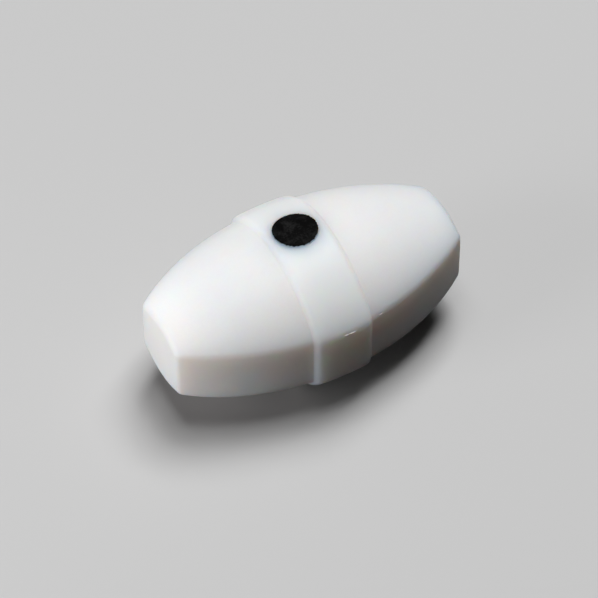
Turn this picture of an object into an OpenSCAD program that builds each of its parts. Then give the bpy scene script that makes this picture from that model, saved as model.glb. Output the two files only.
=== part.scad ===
// Magnetic stir bar: a moulded fluoropolymer jacket with a raised pivot ring, sealed round a rod magnet,
// with a dark marker disc let into the top of the ring.
//
// The long axis lies along X, the width along Y and +Z is up. The origin is the lowest point of the pivot
// ring, on which the bar rests and spins. The marker's pocket is in the top; otherwise top and bottom match.

/* [Body] */
// Length over the two flat end faces
body_length = 50; // [42:1:60]
// Width across the middle of the body, without the ring
body_width = 27.8; // [24:0.1:32]
// Width of each flat end face
end_width = 11.6; // [8:0.1:15]
// Height of the crowns over the middle, without the ring
body_height = 25; // [22:0.1:28]
// Height to which the crowns fall at the end faces
end_height = 12.8; // [11:0.1:15]
// Height of the upright side wall at the middle
wall_height = 10; // [8:0.1:11]
// Radius where a crown turns into an end face
nose_radius = 0.8; // [0.4:0.1:2]
// Radius of the upright corners between a side wall and an end face
corner_radius = 0.4; // [0.2:0.1:1.2]

/* [Pivot ring] */
// Width of the ring along the bar, measured at its foot
ring_width = 10.4; // [8:0.1:14]
// Height of the ring above the body all the way round
ring_step = 0.7; // [0.3:0.05:1.5]
// Length along the bar over which each shoulder of the ring climbs
ring_shoulder = 1.3; // [0.3:0.1:2]

/* [Magnet] */
// Diameter of the rod magnet
magnet_diameter = 12; // [8:0.5:14]
// Length of the rod magnet
magnet_length = 34; // [24:1:36]
// Bevel on the rims of the rod magnet
magnet_bevel = 0.6; // [0.2:0.1:1]
// Gap left between the magnet and the jacket moulded round it
magnet_gap = 0.05; // [0.02:0.01:0.2]

/* [Marker disc] */
// Diameter of the marker disc
marker_diameter = 7.2; // [4:0.1:8]
// Thickness of the marker disc at its middle
marker_thickness = 1.5; // [0.8:0.1:3]
// Distance of the marker disc from the middle of the ring, across the bar
marker_offset = 1.7; // [0:0.1:3]
// Depth of the marker's face below the face of the ring
marker_recess = 0.08; // [0:0.01:0.3]
// Gap between the marker disc and its pocket
marker_gap = 0.03; // [0.02:0.01:0.1]

/* [Hidden] */
$fn = 240;

// Radius of the arc that rises by the given amount over half its chord.
function arc_radius(half_chord, rise) = (half_chord * half_chord + rise * rise) / (2 * rise);

// How far an arc has fallen at a distance from its highest point.
function arc_drop(radius, distance) = radius - sqrt(radius * radius - distance * distance);

// The body's three arcs: its plan outline, the line of its crest, and the crown across the middle.
plan_radius = arc_radius(body_length / 2, (body_width - end_width) / 2);
crest_radius = arc_radius(body_length / 2, (body_height - end_height) / 2);
crown_radius = arc_radius(body_width / 2, (body_height - wall_height) / 2);

// Each crown is turned about its own axis, parallel to the bar and past the body's mid-plane.
crown_axis_offset = crown_radius - body_height / 2;

// Height of the body's mid-plane when the ring's lowest point is at the origin.
mid_height = body_height / 2 + ring_step;

// Height of the marker's face over the mid-plane, at the middle of the disc.
marker_face = body_height / 2 + ring_step - marker_recess
    - arc_drop(crown_radius + ring_step - marker_recess, marker_offset);
marker_floor = marker_face - marker_thickness;

// Half of a lens standing on the X axis, with its round top corners tangent to the arc and to the ends.
// It reaches from -length / 2 to length / 2 and up to the given height.
module half_lens(length, height, radius, corner) {
    arc_centre = height - radius;
    corner_x = length / 2 - corner;
    corner_y = arc_centre + sqrt(pow(radius - corner, 2) - corner_x * corner_x);
    tangent_x = corner_x * radius / (radius - corner);
    intersection() {
        translate([0, arc_centre]) circle(radius);
        translate([-tangent_x, 0]) square([2 * tangent_x, height]);
    }
    translate([-length / 2, 0]) square([length, corner_y]);
    for (side = [-1, 1])
        translate([side * corner_x, corner_y]) circle(corner);
}

// Half of the ring's profile: the arc raised by the step, between shoulders that run down into the body.
// A shoulder goes one step deeper than its foot, so that it ends well inside the body.
module half_ring(height, radius) {
    foot = height - arc_drop(radius, ring_width / 2);
    climb = ring_shoulder * (height + ring_step - foot) / ring_step;
    root = ring_width / 2 + ring_shoulder;
    intersection() {
        translate([0, height - radius]) circle(radius + ring_step);
        polygon([
            [-root, 0],
            [-root, foot - ring_step],
            [-ring_width / 2 + climb, height + ring_step],
            [ring_width / 2 - climb, height + ring_step],
            [root, foot - ring_step],
            [root, 0],
        ]);
    }
}

// A plan outline, carried up and down from the mid-plane as an upright wall that ends level with the ring.
module upright_wall() {
    linear_extrude(height = 2 * mid_height, center = true) {
        children();
        mirror([0, 1]) children();
    }
}

// A half profile turned about the axis of the upper crown, and the same mirrored for the lower crown.
// What lies within both is crowned above and below.
module double_crown() {
    intersection_for (half = [0, 1])
        mirror([0, 0, half])
            translate([0, 0, -crown_axis_offset])
                rotate([0, 90, 0])
                    rotate_extrude()
                        rotate(-90)
                            children();
}

module body_form() {
    intersection() {
        upright_wall() half_lens(body_length, body_width / 2, plan_radius, corner_radius);
        double_crown() half_lens(body_length, crown_radius, crest_radius, nose_radius);
    }
}

module ring_form() {
    intersection() {
        upright_wall() half_ring(body_width / 2, plan_radius);
        double_crown() half_ring(crown_radius, crest_radius);
    }
}

// A rod along X with bevelled rims, grown all over by the given gap.
module rod(gap) {
    radius = magnet_diameter / 2 + gap;
    half = magnet_length / 2 + gap;
    rotate([0, 90, 0])
        rotate_extrude()
            polygon([
                [0, -half],
                [radius - magnet_bevel, -half],
                [radius, -half + magnet_bevel],
                [radius, half - magnet_bevel],
                [radius - magnet_bevel, half],
                [0, half],
            ]);
}

// The upright hole that takes the marker disc, from a gap under its floor to clear of the ring.
module marker_pocket() {
    translate([0, marker_offset, marker_floor - marker_gap])
        cylinder(r = marker_diameter / 2 + marker_gap, h = body_height);
}

module ptfe_jacket() {
    color("white")
        translate([0, 0, mid_height])
            difference() {
                union() {
                    body_form();
                    ring_form();
                }
                rod(magnet_gap);
                marker_pocket();
            }
}

module magnet_core() {
    color("silver")
        translate([0, 0, mid_height])
            rod(0);
}

// The disc's face follows the crown of the ring, a little below it.
module marker_disc() {
    color("black")
        translate([0, 0, mid_height])
            intersection() {
                translate([0, marker_offset, marker_floor])
                    cylinder(d = marker_diameter, h = body_height);
                translate([0, 0, -crown_axis_offset])
                    rotate([0, 90, 0])
                        cylinder(
                            r = crown_radius + ring_step - marker_recess, h = body_length, center = true
                        );
            }
}

ptfe_jacket();
magnet_core();
marker_disc();
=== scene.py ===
# %% [markdown]
# # A magnetic stir bar, dressed for the camera
#
# The real object is a white fluoropolymer body moulded round a rod magnet. It is pointed in plan, crowned
# above and below, cut flat at its ends, and has a raised ring round its middle to spin on. A black marker
# disc is let into the top of the ring. The construction is already fixed in the CAD model. What is added
# here is the finish: soft moulded edges, the waxy glow of the white plastic, and the rough black marker.

# %% Load the fixed frame
import math

import bmesh
import bpy
import numpy as np
from mathutils import Matrix, Vector


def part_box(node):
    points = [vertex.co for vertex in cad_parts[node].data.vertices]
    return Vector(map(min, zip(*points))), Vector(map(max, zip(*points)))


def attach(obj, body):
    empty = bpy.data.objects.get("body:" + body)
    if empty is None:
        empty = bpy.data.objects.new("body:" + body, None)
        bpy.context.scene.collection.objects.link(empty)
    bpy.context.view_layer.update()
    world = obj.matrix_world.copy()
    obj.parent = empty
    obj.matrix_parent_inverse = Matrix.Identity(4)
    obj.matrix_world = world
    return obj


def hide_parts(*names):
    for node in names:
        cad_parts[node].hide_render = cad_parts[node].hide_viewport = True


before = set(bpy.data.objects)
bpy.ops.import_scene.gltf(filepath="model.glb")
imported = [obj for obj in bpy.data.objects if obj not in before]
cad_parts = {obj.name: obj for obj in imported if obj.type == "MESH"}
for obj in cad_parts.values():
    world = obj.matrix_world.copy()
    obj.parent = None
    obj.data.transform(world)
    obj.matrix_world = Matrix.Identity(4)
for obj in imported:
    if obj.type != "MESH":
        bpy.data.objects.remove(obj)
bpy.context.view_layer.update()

mm = 0.001

# %% [markdown]
# ## The camera
#
# A long lens, far off, keeps the perspective flat, as in a catalogue. The view is from above the left front,
# so that the top, the long side wall and one end face all show. A Track To constraint could aim the camera,
# but it can't tilt it. So the angles are turned into three axes: to the camera's right, up, and back from
# the bar to the lens.

# %% Camera from above the left front
view_azimuth = math.radians(-28.28)
view_elevation = math.radians(50.86)
view_roll = math.radians(-0.40)
view_distance = 525 * mm
aim_right = -0.60 * mm
aim_up = -1.52 * mm


def camera_axes(azimuth, elevation, roll):
    """The right, up and back directions of a camera that looks at the origin from these angles. Back points
    to where the camera stands. Level and upright are square to it, and the roll turns that pair about it."""
    back = Vector((
        math.sin(azimuth) * math.cos(elevation),
        -math.cos(azimuth) * math.cos(elevation),
        math.sin(elevation),
    ))
    level = Vector((math.cos(azimuth), math.sin(azimuth), 0))
    upright = back.cross(level)
    right = level * math.cos(roll) + upright * math.sin(roll)
    up = upright * math.cos(roll) - level * math.sin(roll)
    return right, up, back


magnet_low, magnet_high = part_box("magnet_core")
mid_height = (magnet_low.z + magnet_high.z) / 2

right, up, back = camera_axes(view_azimuth, view_elevation, view_roll)
camera = bpy.data.objects.new("camera", bpy.data.cameras.new("camera"))
camera.data.lens = 203.2
camera.data.sensor_width = 36
camera.data.clip_start = 10 * mm
camera.data.clip_end = 20
centre = Vector((0, 0, mid_height))
place = centre + back * view_distance + right * aim_right + up * aim_up
turn = Matrix((right, up, back)).transposed().to_4x4()
camera.matrix_world = Matrix.Translation(place) @ turn
bpy.context.scene.collection.objects.link(camera)
bpy.context.scene.camera = camera
print("camera stands at", [round(v, 4) for v in place])

# %% [markdown]
# ## The sizes of the form
#
# The overall sizes are read from the frame, and the few that the frame's boxes don't show are given here.
# Every outline of the bar is an arc that rises by a known amount over a known half chord, so each radius
# follows from those two. Heights are counted from the mid-plane of the bar, where the magnet's axis lies.

# %% Driving sizes and the radii that follow
jacket_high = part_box("ptfe_jacket")[1]
marker_low, marker_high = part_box("marker_disc")

ring_step = 0.7 * mm
half_length = jacket_high.x
half_width = jacket_high.y - ring_step
half_height = mid_height - ring_step
end_half_width = 5.8 * mm
end_half_height = 6.4 * mm
wall_half_height = 4.65 * mm
nose_radius = 0.8 * mm
corner_radius = 0.4 * mm
edge_radius = 0.35 * mm
ring_middle = -0.4 * mm
ring_foot = 4.95 * mm
ring_shoulder = 2.6 * mm
ring_fillet = 0.40 * mm
shoulder_power = 7


def arc_radius(half_chord, rise):
    """Radius of an arc that rises by this much over half its chord: (chord^2 + rise^2) / (2 rise)."""
    return (half_chord**2 + rise**2) / (2 * rise)


plan_radius = arc_radius(half_length, half_width - end_half_width)
crest_radius = arc_radius(half_length, half_height - end_half_height)
crown_radius = arc_radius(half_width, half_height - wall_half_height)
crown_axis = crown_radius - half_height
print("radii in mm: plan", round(plan_radius / mm, 2), "crest", round(crest_radius / mm, 2),
      "crown", round(crown_radius / mm, 2))

# %% [markdown]
# ## The body as a field
#
# A moulded body with soft edges is awkward to build face by face. It is easier to write down how far any
# point lies outside each of its surfaces: the upright wall, the crown and the end plane. The body is where
# all three are negative. Taking the plain largest of them gives sharp edges. Where two of them come within
# a radius of zero together, the length of the pair is taken instead, and that rounds the edge.
#
# The ring needs no form of its own. It is the same wall and crown, moved outwards by one step where the
# place along the bar is within the ring, with a smooth climb at each shoulder.


# %% Field functions
def round_and(a, b, radius):
    """Both fields at once, with their shared edge rounded: the larger of the two away from the edge, and
    near it the distance to a circle of the given radius that touches both."""
    near = np.hypot(np.maximum(a + radius, 0), np.maximum(b + radius, 0))
    return np.minimum(np.maximum(a, b), -radius) + near


def smooth(t):
    """An S-shaped climb from 0 to 1 that starts and ends level: 6 t^5 - 15 t^4 + 10 t^3."""
    t = np.clip(t, 0, 1)
    return t**3 * (t * (6 * t - 15) + 10)


def ring_rise(x):
    """How far the ring lifts the surface at x: one step inside, and at each side a shoulder that is steep at
    its foot and runs out flat, step (1 - (1 - t)^7), where t goes from 0 at the foot to 1. The same curve is
    followed a little past the foot, to below zero. A fillet eases the foot: where the shoulder is within the
    fillet's size of zero, a parabola is added to it."""
    past_foot = -0.1
    inwards = (ring_foot - np.abs(x - ring_middle)) / ring_shoulder
    rise = ring_step * (1 - (1 - np.clip(inwards, past_foot, 1)) ** shoulder_power)
    near_foot = np.maximum(1 - np.abs(rise) / ring_fillet, 0)
    return np.maximum(rise, 0) + ring_fillet / 4 * near_foot**2


def wall_field(x, y):
    """Distance outside the upright wall, an arc in plan on each side of the bar: how far a point is from the
    arc's centre, which lies across the bar, less the arc's radius."""
    return np.hypot(x, np.abs(y) + plan_radius - half_width) - plan_radius


def crown_field(x, y, z):
    """Distance outside the crowns. Each is the crest's arc, turned about an axis along the bar, so the
    distance from that axis stands for the height, and then it is the same sum as for the wall."""
    off_axis = np.hypot(y, np.abs(z) + crown_axis)
    return np.hypot(x, off_axis + crest_radius - crown_radius) - crest_radius


def jacket_field(x, y, z):
    """Distance outside the whole jacket: crown and wall rounded together, and then with the end plane. That
    last radius is the nose's where the crown is the outer of the two, and the small corner's where the wall
    is, with an S-shaped change between them over three nose radii."""
    rise = ring_rise(x)
    crown = crown_field(x, y, z) - rise
    wall = wall_field(x, y) - rise
    sides = round_and(crown, wall, edge_radius)
    to_nose = smooth(0.5 + (crown - wall) / (3 * nose_radius))
    end_radius = corner_radius + (nose_radius - corner_radius) * to_nose
    return round_and(sides, np.abs(x) - half_length, end_radius)


crest_value = jacket_field(0, 0, half_height + ring_step)
print("the field at the ring's highest point is", round(float(crest_value) / mm, 6), "mm")

# %% [markdown]
# ## Where to put the points
#
# A surface is a grid of two numbers: a station along the bar and a place round its section. Flat stretches
# need few points and edges many. So the grid is spaced by rule: the wanted spacing is given at each place,
# and the points are dealt out along the running sum of its inverse.


# %% Spacing by rule
def dealt(start, stop, spacing, samples=4000):
    """Places from start to stop, as far apart as the spacing function says at each of them: the running sum
    of the inverse spacing, taken over many even samples, is cut into equal parts."""
    fine = np.linspace(start, stop, samples)
    share = 1 / spacing(fine)
    total = np.concatenate([[0], np.cumsum((share[1:] + share[:-1]) / 2 * np.diff(fine))])
    count = max(2, round(total[-1]))
    return np.interp(np.linspace(0, total[-1], count + 1), total, fine)


# %% [markdown]
# ## Stations along the bar
#
# One half of the bar is dealt out and then mirrored. The ring sits a little off the middle of the bar, so its
# two feet are at different distances from there, and the close spacing is wide enough to cover both. Round
# the nose, the stations follow even turns of its arc. The last turn stops a little short, because a ray that
# lies in the end plane itself never starts inside the body.


# %% Deal out the stations
finest_station = 0.07 * mm
station_growth = 0.25
widest_on_ring = 0.13 * mm
widest_on_body = 0.6 * mm


def station_spacing(x):
    """Close on the ring, closer at its foot, wide along the body and close again at the nose. From the foot
    and from the nose, the spacing grows in proportion to the distance, up to the widest."""
    from_foot = np.maximum(np.abs(x - ring_foot) - 2 * np.abs(ring_middle), 0)
    from_nose = np.abs(half_length - nose_radius - x)
    growing = finest_station + station_growth * np.minimum(from_foot, from_nose)
    widest = np.where(x < ring_foot, widest_on_ring, widest_on_body)
    return np.minimum(growing, widest)


nose_start = half_length - nose_radius
nose_steps = 14
short_of_end = 1e-3
along_body = dealt(0, nose_start, station_spacing)
nose_turn = np.linspace(0, math.pi / 2, nose_steps + 1)[1:]
nose_turn[-1] -= short_of_end
along_nose = nose_start + nose_radius * np.sin(nose_turn)
half_stations = np.concatenate([along_body, along_nose])
stations = np.concatenate([-half_stations[:0:-1], half_stations])
print(len(stations), "stations along the bar")

# %% [markdown]
# ## Places round each section
#
# The section's edge, where wall and crown meet, stands at another angle at every station. Places at fixed
# angles would miss it, and its highlight would come out jagged. So the edge is found first, and the places
# are dealt out to both sides of it in fixed shares.


# %% Deal out the places round a section
finest_place = 0.06 * mm
place_growth = 0.2
widest_on_wall = 0.35 * mm
widest_on_crown = 0.2 * mm


def share_from_edge(length, widest):
    """Shares of a stretch of this length, counted from the edge, close at the edge and wider away from it in
    proportion to the distance, up to the widest."""
    places = dealt(0, length, lambda distance: np.minimum(finest_place + place_growth * distance, widest))
    return places / length


wall_shares = share_from_edge(wall_half_height, widest_on_wall)
crown_shares = share_from_edge(crown_radius * math.asin(half_width / crown_radius), widest_on_crown)


def section_size(x):
    """Half the width over the walls, and the crown's radius, at each station: how far the plan's arc is from
    the bar's axis, and the crest's arc from the crown's axis, both lifted as the ring is."""
    rise = ring_rise(x)
    side = half_width - plan_radius + np.sqrt(plan_radius**2 - x**2) + rise
    radius = crown_radius - crest_radius + np.sqrt(crest_radius**2 - x**2) + rise
    return side, radius


def section_angles(x):
    """For each station, the angles round the section at which its points lie. A quarter is dealt out from
    the sharp edge down the wall and up over the crown, and then mirrored twice."""
    side, radius = section_size(x)
    lean = np.arcsin(side / radius)
    corner = radius * np.cos(lean) - crown_axis
    down_wall = corner[:, None] * (1 - wall_shares[::-1])
    wall = np.arctan2(down_wall, side[:, None])
    over_crown = lean[:, None] * (1 - crown_shares[1:])
    high = radius[:, None] * np.cos(over_crown) - crown_axis
    crown = np.arctan2(high, radius[:, None] * np.sin(over_crown))
    quarter = np.concatenate([wall, crown], axis=1)
    half = np.concatenate([quarter, math.pi - quarter[:, -2::-1]], axis=1)
    return np.concatenate([half, math.pi + half[:, 1:-1]], axis=1)


angles = section_angles(stations)
print(angles.shape[1], "points round each section")

# %% [markdown]
# ## Casting rays on to the body
#
# From the bar's axis, a ray leaves in every direction of the grid. Somewhere on it the field turns from
# negative to positive, and that is the surface. Halving the stretch that holds the change, again and again
# and for all rays at once, finds it to far less than a thousandth of a millimetre.


# %% Find the surface along rays
halvings = 36
past_any_side = 30 * mm
past_the_top = 20 * mm


def cast(start, heading, reach):
    """Points where rays from inside leave the jacket, by repeated halving of the reach. The last axis of
    start and of heading holds x, y and z."""
    low = np.zeros(start.shape[:-1])
    high = np.full(start.shape[:-1], reach)
    for _ in range(halvings):
        middle = (low + high) / 2
        point = start + middle[..., None] * heading
        inside = jacket_field(point[..., 0], point[..., 1], point[..., 2]) < 0
        low = np.where(inside, middle, low)
        high = np.where(inside, high, middle)
    return start + low[..., None] * heading


axis_points = np.zeros(angles.shape + (3,))
axis_points[..., 0] = stations[:, None]
outwards = np.stack([np.zeros_like(angles), np.cos(angles), np.sin(angles)], axis=-1)
skin = cast(axis_points, outwards, past_any_side)
print("skin reaches", np.round(np.abs(skin).max(axis=(0, 1)) / mm, 3), "mm")

# %% [markdown]
# ## Making room for the marker
#
# The pocket is round, and the grid is square. A Boolean modifier would cut the hole at once, but it leaves
# long thin faces round it, which shade badly on a smooth crown. Instead, a square block of cells on top of
# the ring is chosen, to be left out, and the pocket's rim, wall and floor will hang from its border.

# %% Choose the block over the pocket
marker_radius = (marker_high.x - marker_low.x) / 2
marker_x = ring_middle
marker_y = (marker_high.y + marker_low.y) / 2
marker_middle = np.array([marker_x, marker_y])
marker_gap = 0.03 * mm
pocket_radius = marker_radius + marker_gap
pocket_floor = marker_low.z - marker_gap - mid_height
block_half = 0.9 * pocket_radius

mid_station = len(stations) // 2
block_rows = np.flatnonzero(np.abs(stations - marker_x) <= block_half)
top_line = skin[mid_station, :, 1]
on_top = skin[mid_station, :, 2] > 0
block_columns = np.flatnonzero(on_top & (np.abs(top_line - marker_y) <= block_half))
row_0, row_1 = block_rows[0], block_rows[-1]
column_0, column_1 = block_columns[0], block_columns[-1]
print("the block is", row_1 - row_0, "by", column_1 - column_0, "cells")

# %% [markdown]
# The block's border is pushed on to the circle. The points round it follow by less and less, so that no cell
# folds, and each is then dropped back on to the surface. The circle isn't a true one: the plug was pressed
# into soft white plastic, and the edge between the two wanders a little.


# %% Fit the block to the pocket's circle
rim_stray = 0.055 * mm
rim_rough_side = math.radians(-60)
rim_unevenness = 0.6
wave_counts = np.arange(7, 70)
follow_cells = 14


def rim_wander(off):
    """How far the rim strays outwards in each direction from its middle: the sum of waves of 7 to 69 a turn
    with random phases, over the root of their number, times a slow wave that makes one side the roughest."""
    turn_angle = np.arctan2(off[..., 1], off[..., 0])
    phases = np.random.default_rng(5).uniform(0, 2 * math.pi, len(wave_counts))
    waves = np.sin(turn_angle[..., None] * wave_counts + phases).sum(axis=-1) / math.sqrt(len(wave_counts))
    return rim_stray * waves * (1 + rim_unevenness * np.cos(turn_angle - rim_rough_side))


def to_circle(points):
    """Sideways moves that bring points on to the pocket's rim, straight towards or away from its axis: the
    offset from the axis, times the wanted distance over the present one, less 1."""
    off = points[..., :2] - marker_middle
    wanted = pocket_radius + rim_wander(off)[..., None]
    return off * (wanted / np.linalg.norm(off, axis=-1, keepdims=True) - 1)


rows = np.arange(row_0 - follow_cells, row_1 + follow_cells + 1)
columns = np.arange(column_0 - follow_cells, column_1 + follow_cells + 1)
row_grid, column_grid = np.meshgrid(rows, columns, indexing="ij")
near_row = np.clip(row_grid, row_0, row_1)
near_column = np.clip(column_grid, column_0, column_1)
cells_off = np.maximum(np.abs(row_grid - near_row), np.abs(column_grid - near_column))
follow = smooth(1 - cells_off / follow_cells)
moved = skin[row_grid, column_grid].copy()
moved[..., :2] += follow[..., None] * to_circle(skin[near_row, near_column])
foot = moved * np.array([1, 1, 0])
skin[row_grid, column_grid] = cast(foot, np.array([0.0, 0.0, 1.0]), past_the_top)


def border_loop():
    """Rows and columns of the block's border, once round it."""
    down = np.arange(row_0, row_1)
    across = np.arange(column_0, column_1)
    loop_rows = [down, np.full(len(across), row_1), down[::-1] + 1, np.full(len(across), row_0)]
    loop_columns = [np.full(len(down), column_0), across, np.full(len(down), column_1), across[::-1] + 1]
    return np.concatenate(loop_rows), np.concatenate(loop_columns)


loop_rows, loop_columns = border_loop()
rim = skin[loop_rows, loop_columns]
print("the pocket's rim has", len(rim), "points")

# %% [markdown]
# ## Rings of points, and the faces between them
#
# The skin, the end faces, the pocket and the magnet's cavity are all rings of points, one after another.
# One helper joins such rings with four-sided faces, and another closes a ring on to a middle point. Going
# round the rings one way or the other decides which side of the faces is outside. Everything is collected as
# whole arrays, because foreach_set then fills a mesh of a hundred thousand points in one go.


# %% Helpers that join rings
sharp_angle = math.radians(40)


def faces_between(first, second):
    """Four-sided faces between two rings of point numbers, which may be whole arrays of rings."""
    return np.stack([first, np.roll(first, -1, axis=-1), np.roll(second, -1, axis=-1), second], axis=-1)


def faces_to_point(ring, tip):
    """Three-sided faces from a ring to one point."""
    return np.stack([ring, np.roll(ring, -1), np.full_like(ring, tip)], axis=-1)


class Shell:
    """Collects points and faces for one mesh."""

    def __init__(self):
        self.points = []
        self.faces = []
        self.count = 0

    def add_points(self, points):
        """Adds points and returns their numbers in the same layout."""
        flat = points.reshape(-1, 3)
        numbers = np.arange(self.count, self.count + len(flat)).reshape(points.shape[:-1])
        self.points.append(flat)
        self.count += len(flat)
        return numbers

    def add_faces(self, faces):
        """Adds an array of faces whose last axis is the point numbers."""
        self.faces.append(faces.reshape(-1, faces.shape[-1]))

    def make(self, name, lift):
        """A Blender object at the origin from all that was added, raised by lift."""
        mesh = bpy.data.meshes.new(name)
        points = np.concatenate(self.points) + np.array([0, 0, lift])
        corners = np.concatenate([f.ravel() for f in self.faces])
        sizes = np.concatenate([np.full(len(f), f.shape[1]) for f in self.faces])
        starts = np.concatenate([[0], np.cumsum(sizes)[:-1]])
        mesh.vertices.add(len(points))
        mesh.vertices.foreach_set("co", points.astype(np.float32).ravel())
        mesh.loops.add(len(corners))
        mesh.loops.foreach_set("vertex_index", corners.astype(np.int32))
        mesh.polygons.add(len(sizes))
        mesh.polygons.foreach_set("loop_start", starts.astype(np.int32))
        mesh.update(calc_edges=True)
        mesh.validate()
        mesh.shade_smooth()
        mesh.set_sharp_from_angle(angle=sharp_angle)
        piece = bpy.data.objects.new(name, mesh)
        bpy.context.scene.collection.objects.link(piece)
        print(name, "has", len(points), "points and", len(sizes), "faces")
        return piece


# %% [markdown]
# ## The jacket
#
# The real jacket is one moulding, so it is one mesh. Its skin, its end faces and the marker's pocket are
# joined point to point, and the sealed cavity round the magnet is a second closed surface inside them.
#
# The skin's grid loses the block over the pocket. Both ends are closed with rings that shrink on to the
# middle of the end face. One many-sided face would do for a flat end, but it shades badly beside a nose.

# %% The skin and its end faces
cap_rings = 6

jacket = Shell()
skin_numbers = jacket.add_points(skin)
skin_faces = faces_between(skin_numbers[:-1], skin_numbers[1:])
keep = np.ones(skin_faces.shape[:2], bool)
keep[row_0:row_1, column_0:column_1] = False
jacket.add_faces(skin_faces[keep])

for side, edge in ((1, -1), (-1, 0)):
    scale = np.linspace(1, 0, cap_rings + 1)[1:-1, None, None]
    face_middle = np.array([side * half_length, 0, 0])
    rings = face_middle + scale * (skin[edge] - face_middle)
    rings[..., 0] = side * half_length
    numbers = np.concatenate([skin_numbers[edge][None], jacket.add_points(rings)])
    tip = jacket.add_points(face_middle[None])[0]
    cap_faces = faces_between(numbers[:-1], numbers[1:])
    tip_faces = faces_to_point(numbers[-1], tip)
    jacket.add_faces(cap_faces[..., ::side])
    jacket.add_faces(tip_faces[..., ::side])
print("skin and end faces take", jacket.count, "points")

# %% [markdown]
# The pocket turns over a small rounded rim, goes straight down and is closed by its floor. The rounding is
# narrow, but it catches a thin line of light round the black disc, as the real one does.

# %% The marker's pocket
rim_radius = 0.06 * mm
rim_steps = 4


def pocket_rings():
    """Rings from the rim over its rounding, a quarter circle, and down to the floor, which then closes
    inwards."""
    off = rim[:, :2] - marker_middle
    outward = off / np.linalg.norm(off, axis=1, keepdims=True)
    turns = np.linspace(0, math.pi / 2, rim_steps + 1)
    rings = []
    for turn_angle in turns[1:]:
        ring = rim.copy()
        ring[:, :2] -= outward * rim_radius * math.sin(turn_angle)
        ring[:, 2] -= rim_radius * (1 - math.cos(turn_angle))
        rings.append(ring)
    wall_ring = rings[-1]
    for shrink in (1, 0.95, 0.5):
        ring = wall_ring.copy()
        ring[:, :2] = marker_middle + shrink * (ring[:, :2] - marker_middle)
        ring[:, 2] = pocket_floor
        rings.append(ring)
    return np.array(rings)


rim_numbers = skin_numbers[loop_rows, loop_columns]
pocket_numbers = np.concatenate([rim_numbers[None], jacket.add_points(pocket_rings())])
floor_tip = jacket.add_points(np.array([[marker_x, marker_y, pocket_floor]]))[0]
jacket.add_faces(faces_between(pocket_numbers[:-1], pocket_numbers[1:])[..., ::-1])
jacket.add_faces(faces_to_point(pocket_numbers[-1], floor_tip)[..., ::-1])
print("the pocket is", round(2 * pocket_radius / mm, 2), "mm wide")

# %% [markdown]
# The sealed cavity is there too, because the white wall round the magnet is a real wall, and light that
# scatters in the plastic goes no deeper than that.


# %% The magnet's cavity
def rod_rings(radius, half, bevel, round_points):
    """Rings of a rod along X with bevelled rims: end, rim, side, side, rim, end."""
    turn_angles = np.linspace(0, 2 * math.pi, round_points, endpoint=False)
    places = np.array([-half, -half, -half + bevel, half - bevel, half, half])
    radii = np.array([0.5 * radius, radius - bevel, radius, radius, radius - bevel, 0.5 * radius])
    ring = np.stack([np.zeros(round_points), np.cos(turn_angles), np.sin(turn_angles)], axis=-1)
    return radii[:, None, None] * ring + places[:, None, None] * np.array([1, 0, 0])


cavity_gap = 0.05 * mm
cavity_radius = (magnet_high.z - magnet_low.z) / 2 + cavity_gap
cavity_half = magnet_high.x + cavity_gap
magnet_bevel = 0.6 * mm
cavity_points = 96
cavity = jacket.add_points(rod_rings(cavity_radius, cavity_half, magnet_bevel, cavity_points))
jacket.add_faces(faces_between(cavity[:-1], cavity[1:])[..., ::-1])
for ring, side in ((cavity[0], -1), (cavity[-1], 1)):
    tip = jacket.add_points(np.array([[side * cavity_half, 0, 0]]))[0]
    jacket.add_faces(faces_to_point(ring, tip)[..., ::-side])
print("the cavity is", round(2 * cavity_half / mm, 2), "mm long")

# %% [markdown]
# Every face has to turn its front away from the plastic. A render doesn't show a mesh that is inside out,
# but its volume comes out negative, so the volume is measured and printed once the jacket is made.

# %% Make the jacket and measure it
jacket_piece = jacket.make("moulded_jacket", mid_height)
solid = bmesh.new()
solid.from_mesh(jacket_piece.data)
print("the jacket holds", round(solid.calc_volume(signed=True) / mm**3), "cubic mm of plastic")
solid.free()
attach(jacket_piece, "root")
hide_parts("ptfe_jacket")

# %% [markdown]
# ## The marker disc
#
# The disc is a plug of black plastic whose face follows the ring's crown. A bevelled cylinder would do for
# a flat face, but this one is curved both ways. So it is a surface of two numbers, how far out and which way
# round, with a rim that turns over and a side that goes down to the floor. The rim wanders as the pocket's
# does, which keeps the gap between them even.

# %% Build the marker disc
marker_recess = 0.08 * mm
marker_floor = marker_low.z - mid_height
round_points = 360
face_rings = 24
rim_shares = [0.985, 1, 1, 1]
rim_sinks = np.array([0.01, 0.05, 0.3, 0]) * mm


def ring_top(x, y):
    """Height of the ring's crown over the mid-plane: the crest's arc, one step out, gives the distance from
    the crown's axis at x, and a circle of that radius about the axis gives the height at y."""
    off_axis = np.sqrt((crest_radius + ring_step) ** 2 - x**2) - crest_radius + crown_radius
    return np.sqrt(off_axis**2 - y**2) - crown_axis


def marker_rings():
    """Rings from the middle of the disc out to its rim, over the rim and down its side. Each is a share of
    the way out to the rim, and lies as far under the face as its sink says. The last is on the floor."""
    turn_angles = np.linspace(0, 2 * math.pi, round_points, endpoint=False)
    heading = np.stack([np.cos(turn_angles), np.sin(turn_angles)], axis=-1)
    edge = marker_radius + rim_wander(heading)
    shares = np.concatenate([np.linspace(0.04, 0.96, face_rings), rim_shares])
    sinks = np.concatenate([np.zeros(face_rings), rim_sinks])
    reach = shares[:, None] * edge
    x = marker_x + reach * np.cos(turn_angles)
    y = marker_y + reach * np.sin(turn_angles)
    z = ring_top(x, y) - marker_recess - sinks[:, None]
    z[-1] = marker_floor
    return np.stack([x, y, z], axis=-1)


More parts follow.
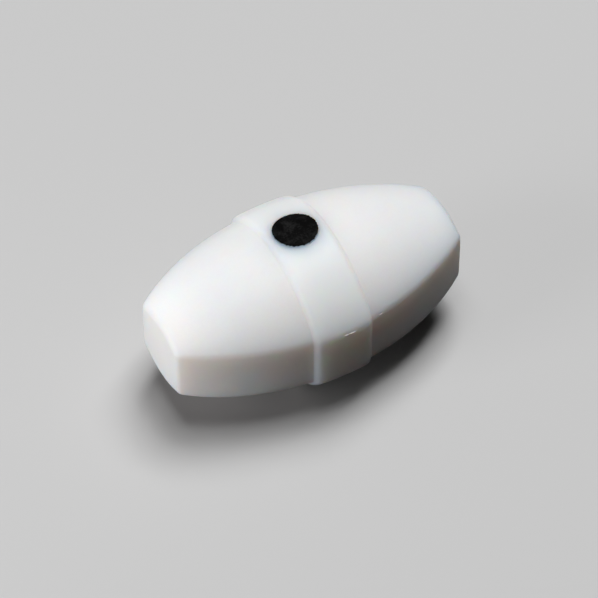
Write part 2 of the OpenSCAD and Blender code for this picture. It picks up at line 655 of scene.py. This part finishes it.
marker = Shell()
rings = marker.add_points(marker_rings())
face_middle = [marker_x, marker_y, ring_top(marker_x, marker_y) - marker_recess]
face_tip = marker.add_points(np.array([face_middle]))[0]
floor_tip = marker.add_points(np.array([[marker_x, marker_y, marker_floor]]))[0]
marker.add_faces(faces_between(rings[:-1], rings[1:])[..., ::-1])
marker.add_faces(faces_to_point(rings[0], face_tip))
marker.add_faces(faces_to_point(rings[-1], floor_tip)[..., ::-1])
marker_piece = marker.make("pressed_marker", mid_height)
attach(marker_piece, "root")
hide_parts("marker_disc")

# %% [markdown]
# ## A burr on the ring
#
# Where the parts of the mould met, slivers of plastic were squeezed out along the bar's upper front edge.
# They are too thin for the CAD model, but the eye finds them, because they lie nearly level and catch the
# light over the shaded wall. Bump in the material couldn't stand out from the edge like this, so each is a
# real strip that follows it, with a ragged outer side. Two on the ring and one on the body, of different
# lengths, look more like the real thing than one even line.

# %% Build the burr's slivers
burr_thickness = 0.05 * mm
burr_root = 0.12 * mm
burr_lift = math.radians(20)
burr_sections = 22
least_share = 0.4
end_turn = 0.05


def sliver_rings(start, stop, width, seed):
    """Four-point sections of a sliver from start to stop along the bar, on the edge where the crown's circle
    reaches the wall. Its width is a half sine from end to end, and each section keeps a random share of
    that, the least share or more. The root starts a little inside the jacket, and the outer side is half as
    thick as the root."""
    x = np.linspace(start, stop, burr_sections)
    kept = np.random.default_rng(seed).uniform(least_share, 1, len(x))
    reach = width * kept * np.sin(np.linspace(end_turn, math.pi - end_turn, len(x)))
    side, radius = section_size(x)
    height = np.sqrt(radius**2 - side**2) - crown_axis
    root = np.stack([x, burr_root - side, height - burr_root], axis=-1)
    outward = np.array([0, -math.cos(burr_lift), math.sin(burr_lift)])
    tip = root + (burr_root + reach)[:, None] * outward
    thick = burr_thickness * np.array([0, 0, 1])
    return np.stack([root, tip, tip + 0.5 * thick, root + thick], axis=1)


slivers = (
    (-0.7 * mm, 0.0 * mm, 0.06 * mm, 3),
    (0.15 * mm, 1.2 * mm, 0.13 * mm, 4),
    (6.0 * mm, 6.6 * mm, 0.08 * mm, 5),
)
burr = Shell()
for start, stop, width, seed in slivers:
    numbers = burr.add_points(sliver_rings(start, stop, width, seed))
    burr.add_faces(faces_between(numbers[:-1], numbers[1:])[..., ::-1])
    burr.add_faces(numbers[0])
    burr.add_faces(numbers[-1, ::-1])
burr_piece = burr.make("ring_burr", mid_height)
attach(burr_piece, "root")

# %% [markdown]
# ## Mottling, shared by every finish
#
# None of the surfaces is even: the white has faint clouds from the pressed powder, the black has grey
# flecks, and the magnet is ground. All three are noise at two scales, so one node group makes them all, and
# each material sets its own sizes. It puts out a value between 0 and 1 that Bump and colour can use.


# %% The mottling node group
def mottling_group():
    """A node group: Object coordinates in, coarse clouds and fine grain mixed out."""
    group = bpy.data.node_groups.new("mottling", "ShaderNodeTree")
    group.interface.new_socket("Vector", in_out="INPUT", socket_type="NodeSocketVector")
    for name, value in (("Cloud Scale", 200), ("Grain Scale", 2000), ("Grain Share", 0.4)):
        socket = group.interface.new_socket(name, in_out="INPUT", socket_type="NodeSocketFloat")
        socket.default_value = value
    group.interface.new_socket("Value", in_out="OUTPUT", socket_type="NodeSocketFloat")
    start = group.nodes.new("NodeGroupInput")
    end = group.nodes.new("NodeGroupOutput")
    cloud = group.nodes.new("ShaderNodeTexNoise")
    cloud.inputs["Detail"].default_value = 3
    grain = group.nodes.new("ShaderNodeTexNoise")
    grain.inputs["Detail"].default_value = 4
    grain.inputs["Roughness"].default_value = 0.6
    mix = group.nodes.new("ShaderNodeMix")
    mix.data_type = "FLOAT"
    link = group.links.new
    link(start.outputs["Vector"], cloud.inputs["Vector"])
    link(start.outputs["Vector"], grain.inputs["Vector"])
    link(start.outputs["Cloud Scale"], cloud.inputs["Scale"])
    link(start.outputs["Grain Scale"], grain.inputs["Scale"])
    link(start.outputs["Grain Share"], mix.inputs["Factor"])
    link(cloud.outputs["Fac"], mix.inputs["A"])
    link(grain.outputs["Fac"], mix.inputs["B"])
    link(mix.outputs["Result"], end.inputs["Value"])
    return group


mottling = mottling_group()
print("the mottling group has", len(mottling.nodes), "nodes")

# %% [markdown]
# Each finish below wires the same few nodes to a Principled BSDF: the mottling, a range, a mix of two
# colours and a bump. A short helper for each keeps the finishes down to the values that make them differ.


# %% Helpers that wire a finish
def new_material(name):
    """An empty node material, with its tree, its Principled BSDF and its Object coordinates."""
    material = bpy.data.materials.new(name)
    material.use_nodes = True
    tree = material.node_tree
    shader = tree.nodes["Principled BSDF"]
    coordinates = tree.nodes.new("ShaderNodeTexCoord")
    return material, tree, shader, coordinates.outputs["Object"]


def add_mottling(tree, vector, cloud_scale, grain_scale, grain_share):
    """Places the mottling group with these values and returns its output."""
    node = tree.nodes.new("ShaderNodeGroup")
    node.node_tree = mottling
    node.inputs["Cloud Scale"].default_value = cloud_scale
    node.inputs["Grain Scale"].default_value = grain_scale
    node.inputs["Grain Share"].default_value = grain_share
    tree.links.new(vector, node.inputs["Vector"])
    return node.outputs["Value"]


def between(tree, value, low, high, from_low=0.35, from_high=0.65):
    """Maps a value to a number between low and high. Noise keeps mostly between 0.35 and 0.65, so those are
    the usual ends that it is mapped from."""
    node = tree.nodes.new("ShaderNodeMapRange")
    node.inputs["From Min"].default_value = from_low
    node.inputs["From Max"].default_value = from_high
    node.inputs["To Min"].default_value = low
    node.inputs["To Max"].default_value = high
    tree.links.new(value, node.inputs["Value"])
    return node.outputs["Result"]


def between_colours(tree, value, low, high):
    """Mixes two colours by a value from 0 to 1. The low one may also be another node's output."""
    node = tree.nodes.new("ShaderNodeMix")
    node.data_type = "RGBA"
    if isinstance(low, tuple):
        node.inputs["A"].default_value = (*low, 1)
    else:
        tree.links.new(low, node.inputs["A"])
    node.inputs["B"].default_value = (*high, 1)
    tree.links.new(value, node.inputs["Factor"])
    return node.outputs["Result"]


def add_bump(tree, shader, height, depth):
    """Bump of a real depth, in metres, under the shader."""
    node = tree.nodes.new("ShaderNodeBump")
    node.inputs["Distance"].default_value = depth
    tree.links.new(height, node.inputs["Height"])
    tree.links.new(node.outputs["Normal"], shader.inputs["Normal"])


def finish(piece, material):
    """Gives a piece its only material."""
    piece.data.materials.clear()
    piece.data.materials.append(material)
    print(piece.name, "is finished in", material.name, "of", len(material.node_tree.nodes), "nodes")


# %% [markdown]
# ## The white jacket's finish
#
# Fluoropolymer looks like wax: light enters it, scatters for some millimetres and leaves again, so edges
# glow and shadows on it are soft and a little warm. Subsurface scattering does this, with red light going
# furthest, where a plain white would look like paint. The surface itself is satin, with faint clouds and a
# very fine grain. The ring is painted a brighter white, a painted highlight that lifts its top, and it is
# also a little glossier.

# %% White fluoropolymer
cloudy_white = (0.925, 0.861, 0.855)
clear_white = (0.950, 0.886, 0.880)
# A brighter white painted on the ring: a painted highlight, not a colour of the plastic.
worn_white = (0.978, 0.914, 0.908)
worn_step = 1.2 * mm


def ring_mask(tree, vector):
    """1 on the ring, 0 on the body, with a soft step at the ring's feet: how far a place is along the bar
    from the ring's middle, mapped from the foot to one blend step inside it. It drives both the ring's
    painted highlight and its lower roughness."""
    parts = tree.nodes.new("ShaderNodeSeparateXYZ")
    from_middle = tree.nodes.new("ShaderNodeMath")
    from_middle.operation = "SUBTRACT"
    from_middle.inputs[1].default_value = ring_middle
    distance = tree.nodes.new("ShaderNodeMath")
    distance.operation = "ABSOLUTE"
    tree.links.new(vector, parts.inputs["Vector"])
    tree.links.new(parts.outputs["X"], from_middle.inputs[0])
    tree.links.new(from_middle.outputs["Value"], distance.inputs[0])
    return between(tree, distance.outputs["Value"], 1, 0, ring_foot - worn_step, ring_foot)


white, tree, shader, vector = new_material("moulded_fluoropolymer")
clouds = add_mottling(tree, vector, cloud_scale=160, grain_scale=2600, grain_share=0.45)
tint = between(tree, clouds, 0, 1)
worn = ring_mask(tree, vector)
colour = between_colours(tree, tint, cloudy_white, clear_white)
# Painted highlight: the ring is mixed towards a brighter white, standing in for light on its top.
colour = between_colours(tree, worn, colour, worn_white)
tree.links.new(colour, shader.inputs["Base Color"])
tree.links.new(between(tree, worn, 0.47, 0.36, 0, 1), shader.inputs["Roughness"])
add_bump(tree, shader, clouds, 0.012 * mm)
shader.inputs["IOR"].default_value = 1.37
shader.inputs["Subsurface Weight"].default_value = 1.0
shader.inputs["Subsurface Radius"].default_value = (1.0, 0.70, 0.50)
shader.inputs["Subsurface Scale"].default_value = 9 * mm
shader.inputs["Specular IOR Level"].default_value = 0.25
finish(jacket_piece, white)

# %% [markdown]
# The burr is made of the same plastic, but it is far thinner than the distance that light travels in it.
# Scattering would let all its light out underneath and turn it nearly black. So it gets a plain surface, in
# a greyer white, because a sliver lets a good part of the light through.

# %% White of the thin burr
thin_white, tree, shader, vector = new_material("thin_fluoropolymer")
clouds = add_mottling(tree, vector, cloud_scale=160, grain_scale=2600, grain_share=0.45)
colour = between_colours(tree, between(tree, clouds, 0, 1), (0.50, 0.49, 0.48), (0.66, 0.65, 0.64))
tree.links.new(colour, shader.inputs["Base Color"])
shader.inputs["Roughness"].default_value = 0.5
shader.inputs["Specular IOR Level"].default_value = 0.25
finish(burr_piece, thin_white)

# %% [markdown]
# ## The black marker's finish
#
# The marker is matt, and its black is filled with powder. Close up it shows small grey flecks and a
# surface as rough as fine paper. A plain black would look like a hole, so the mottling that clouds the white
# is used again, finer and with more contrast. A low specular level keeps it dark right under the lamps.

# %% Black filled plastic
black, tree, shader, vector = new_material("filled_black_plastic")
flecks = add_mottling(tree, vector, cloud_scale=700, grain_scale=3500, grain_share=0.5)
tint = between(tree, flecks, 0, 1, 0.47, 0.72)
colour = between_colours(tree, tint, (0.0015, 0.0015, 0.0015), (0.022, 0.022, 0.022))
tree.links.new(colour, shader.inputs["Base Color"])
tree.links.new(between(tree, flecks, 0.6, 0.8), shader.inputs["Roughness"])
add_bump(tree, shader, flecks, 0.04 * mm)
shader.inputs["Specular IOR Level"].default_value = 0.05
finish(marker_piece, black)

# %% [markdown]
# ## The magnet's finish
#
# The rod inside is sintered metal, ground to size: a dull grey with fine marks that run round it. Bands
# would come out too even, so the mottling is squeezed along the rod instead. Nothing shows of the rod in the
# finished bar, but it is a real piece, so it gets a real finish.

# %% Ground sintered metal
metal, tree, shader, vector = new_material("sintered_magnet")
stretch = tree.nodes.new("ShaderNodeMapping")
stretch.inputs["Scale"].default_value = (12, 1, 1)
tree.links.new(vector, stretch.inputs["Vector"])
marks = add_mottling(tree, stretch.outputs["Vector"], cloud_scale=90, grain_scale=1500, grain_share=0.6)
colour = between_colours(tree, between(tree, marks, 0, 1), (0.20, 0.20, 0.21), (0.36, 0.355, 0.35))
tree.links.new(colour, shader.inputs["Base Color"])
tree.links.new(between(tree, marks, 0.35, 0.6), shader.inputs["Roughness"])
add_bump(tree, shader, marks, 0.01 * mm)
shader.inputs["Metallic"].default_value = 1.0
finish(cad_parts["magnet_core"], metal)

# %% [markdown]
# ## The floor
#
# The floor is pale to the camera, and in what shiny and clear things show of it. To the light that bounces
# off it, it is nearly black, so that the side wall keeps its shade, as it does over a dark table. Light Path
# tells which kind of ray arrives, and the largest of its three outputs picks the colour.

# %% Pale floor
pale_when_seen = (0.60, 0.60, 0.60)
dark_to_bounces = (0.009, 0.008, 0.007)

floor_mesh = bpy.data.meshes.new("floor")
floor_half = 3.0
floor_corners = [(x * floor_half, y * floor_half, 0) for x, y in ((-1, -1), (1, -1), (1, 1), (-1, 1))]
floor_mesh.from_pydata(floor_corners, [], [(0, 1, 2, 3)])
floor = bpy.data.objects.new("floor", floor_mesh)
bpy.context.scene.collection.objects.link(floor)

pale, tree, shader, _ = new_material("pale_floor")
path = tree.nodes.new("ShaderNodeLightPath")
seen = path.outputs["Is Camera Ray"]
for ray in ("Is Glossy Ray", "Is Transmission Ray"):
    either = tree.nodes.new("ShaderNodeMath")
    either.operation = "MAXIMUM"
    tree.links.new(seen, either.inputs[0])
    tree.links.new(path.outputs[ray], either.inputs[1])
    seen = either.outputs["Value"]
colour = between_colours(tree, seen, dark_to_bounces, pale_when_seen)
tree.links.new(colour, shader.inputs["Base Color"])
shader.inputs["Roughness"].default_value = 0.9
shader.inputs["Specular IOR Level"].default_value = 0.1
finish(floor, pale)

# %% [markdown]
# ## Light and background
#
# Two large soft lamps do most of the work: one straight above, and a stronger one high up behind the right
# end, as soft boxes would. Both shine on the crowns and leave the front wall in shade. A weak lamp and a
# small card, low at the left, light the left end face and the ring's near shoulder. A faint even sky fills
# the rest.

# %% World and lamps
world = bpy.data.worlds.new("studio")
world.use_nodes = True
world.node_tree.nodes["Background"].inputs["Color"].default_value = (1, 1, 1, 1)
world.node_tree.nodes["Background"].inputs["Strength"].default_value = 0.004
bpy.context.scene.world = world


def soft_lamp(name, azimuth, elevation, distance, width, height, power):
    """A rectangular area lamp that faces the bar from these angles. Azimuth 0 is in front of it."""
    data = bpy.data.lights.new(name, "AREA")
    data.shape = "RECTANGLE"
    data.size = width
    data.size_y = height
    data.energy = power
    lamp = bpy.data.objects.new(name, data)
    heading = camera_axes(math.radians(azimuth), math.radians(elevation), 0)[2]
    lamp.location = centre + heading * distance
    lamp.rotation_mode = "QUATERNION"
    lamp.rotation_quaternion = heading.to_track_quat("Z", "Y")
    bpy.context.scene.collection.objects.link(lamp)
    print(name, "gives", power, "W from", distance, "m away")


soft_lamp("overhead_lamp", azimuth=0, elevation=90, distance=1.6, width=0.7, height=0.7, power=9.4)
soft_lamp("back_lamp", azimuth=120, elevation=70, distance=1.6, width=0.7, height=0.7, power=15.8)
soft_lamp("left_lamp", azimuth=-92, elevation=25, distance=1.6, width=0.5, height=0.5, power=3.1)
soft_lamp("side_card", azimuth=-94, elevation=-0.5, distance=0.22, width=0.12, height=0.02, power=0.265)
bpy.context.scene.view_settings.view_transform = "Standard"
